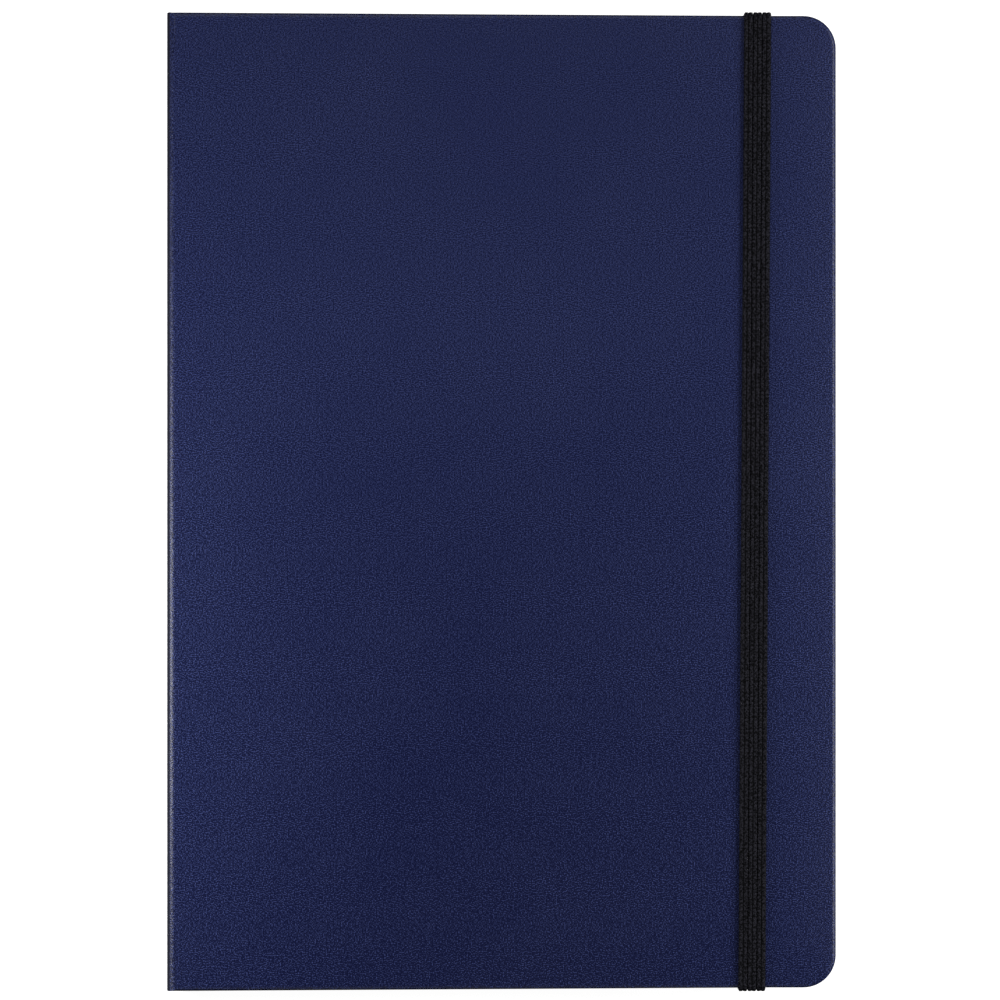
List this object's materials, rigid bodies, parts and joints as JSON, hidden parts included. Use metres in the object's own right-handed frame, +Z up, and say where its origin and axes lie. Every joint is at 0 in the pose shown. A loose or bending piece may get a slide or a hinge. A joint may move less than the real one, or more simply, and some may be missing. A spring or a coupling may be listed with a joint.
{
  "type": "pilot logbook",
  "caption": "Hardcover pilot logbook, sewn in sections, with leatherette boards, rounded fore-edge corners, opening covers and a sliding elastic closure band.",
  "frame": {"origin": "under the middle of the closed book, on the surface that it lies on", "axes": "+X from the spine to the fore-edge, +Y from tail to head, +Z up through the thickness, front cover on top"},
  "size_m": [0.148, 0.2166, 0.019],
  "materials": {
    "leatherette": "navy pebble-grain leatherette, satin",
    "greyboard": "raw grey binder's board",
    "endpaper": "uncoated ivory endpaper",
    "page_paper": "uncoated cream writing paper",
    "thread": "waxed linen thread",
    "mull": "open cotton gauze",
    "headband": "worked navy and white cotton",
    "elastic": "black ribbed knitted elastic"
  },
  "bodies": {
    "text_block": {"section_01": "page_paper", "section_02": "page_paper", "section_03": "page_paper", "section_04": "page_paper", "section_05": "page_paper", "section_06": "page_paper", "section_07": "page_paper", "section_08": "page_paper", "section_09": "page_paper", "section_10": "page_paper", "section_11": "page_paper", "back_flyleaf": "endpaper", "spine_skin": "leatherette", "spine_card": "greyboard", "spine_lining": "page_paper", "spine_mull": "mull", "headband": "headband", "tailband": "headband", "sewing_thread_1": "thread", "sewing_thread_2": "thread", "sewing_thread_3": "thread", "sewing_thread_4": "thread", "sewing_thread_5": "thread"},
    "front_pages": {"section_12": "page_paper", "front_flyleaf": "endpaper"},
    "front_cover": {"front_board": "greyboard", "front_cover_skin": "leatherette", "front_pastedown": "endpaper"},
    "back_cover": {"back_board": "greyboard", "back_cover_skin": "leatherette", "back_pastedown": "endpaper", "elastic_anchor_head": "elastic", "elastic_anchor_tail": "elastic"},
    "closure_band": {"elastic_band": "elastic"}
  },
  "joints": [
    {"name": "turn_front_pages", "type": "hinge", "parent": "text_block", "child": "front_pages", "pos_m": [-0.07405, 0, 0.01404], "axis": [0, 1, 0], "range_deg": [-180, 0]},
    {"name": "open_front_cover", "type": "hinge", "parent": "front_pages", "child": "front_cover", "pos_m": [-0.07405, 0, 0.01404], "axis": [0, -1, 0], "range_deg": [0, 180]},
    {"name": "open_back_cover", "type": "hinge", "parent": "text_block", "child": "back_cover", "pos_m": [-0.07405, 0, 0.00414], "axis": [0, 1, 0], "range_deg": [0, 180]},
    {"name": "pull_band_off", "type": "slide", "parent": "back_cover", "child": "closure_band", "axis": [1, 0, 0], "range_m": [0, 0.026], "stiffness_N_per_m": 80}
  ]
}
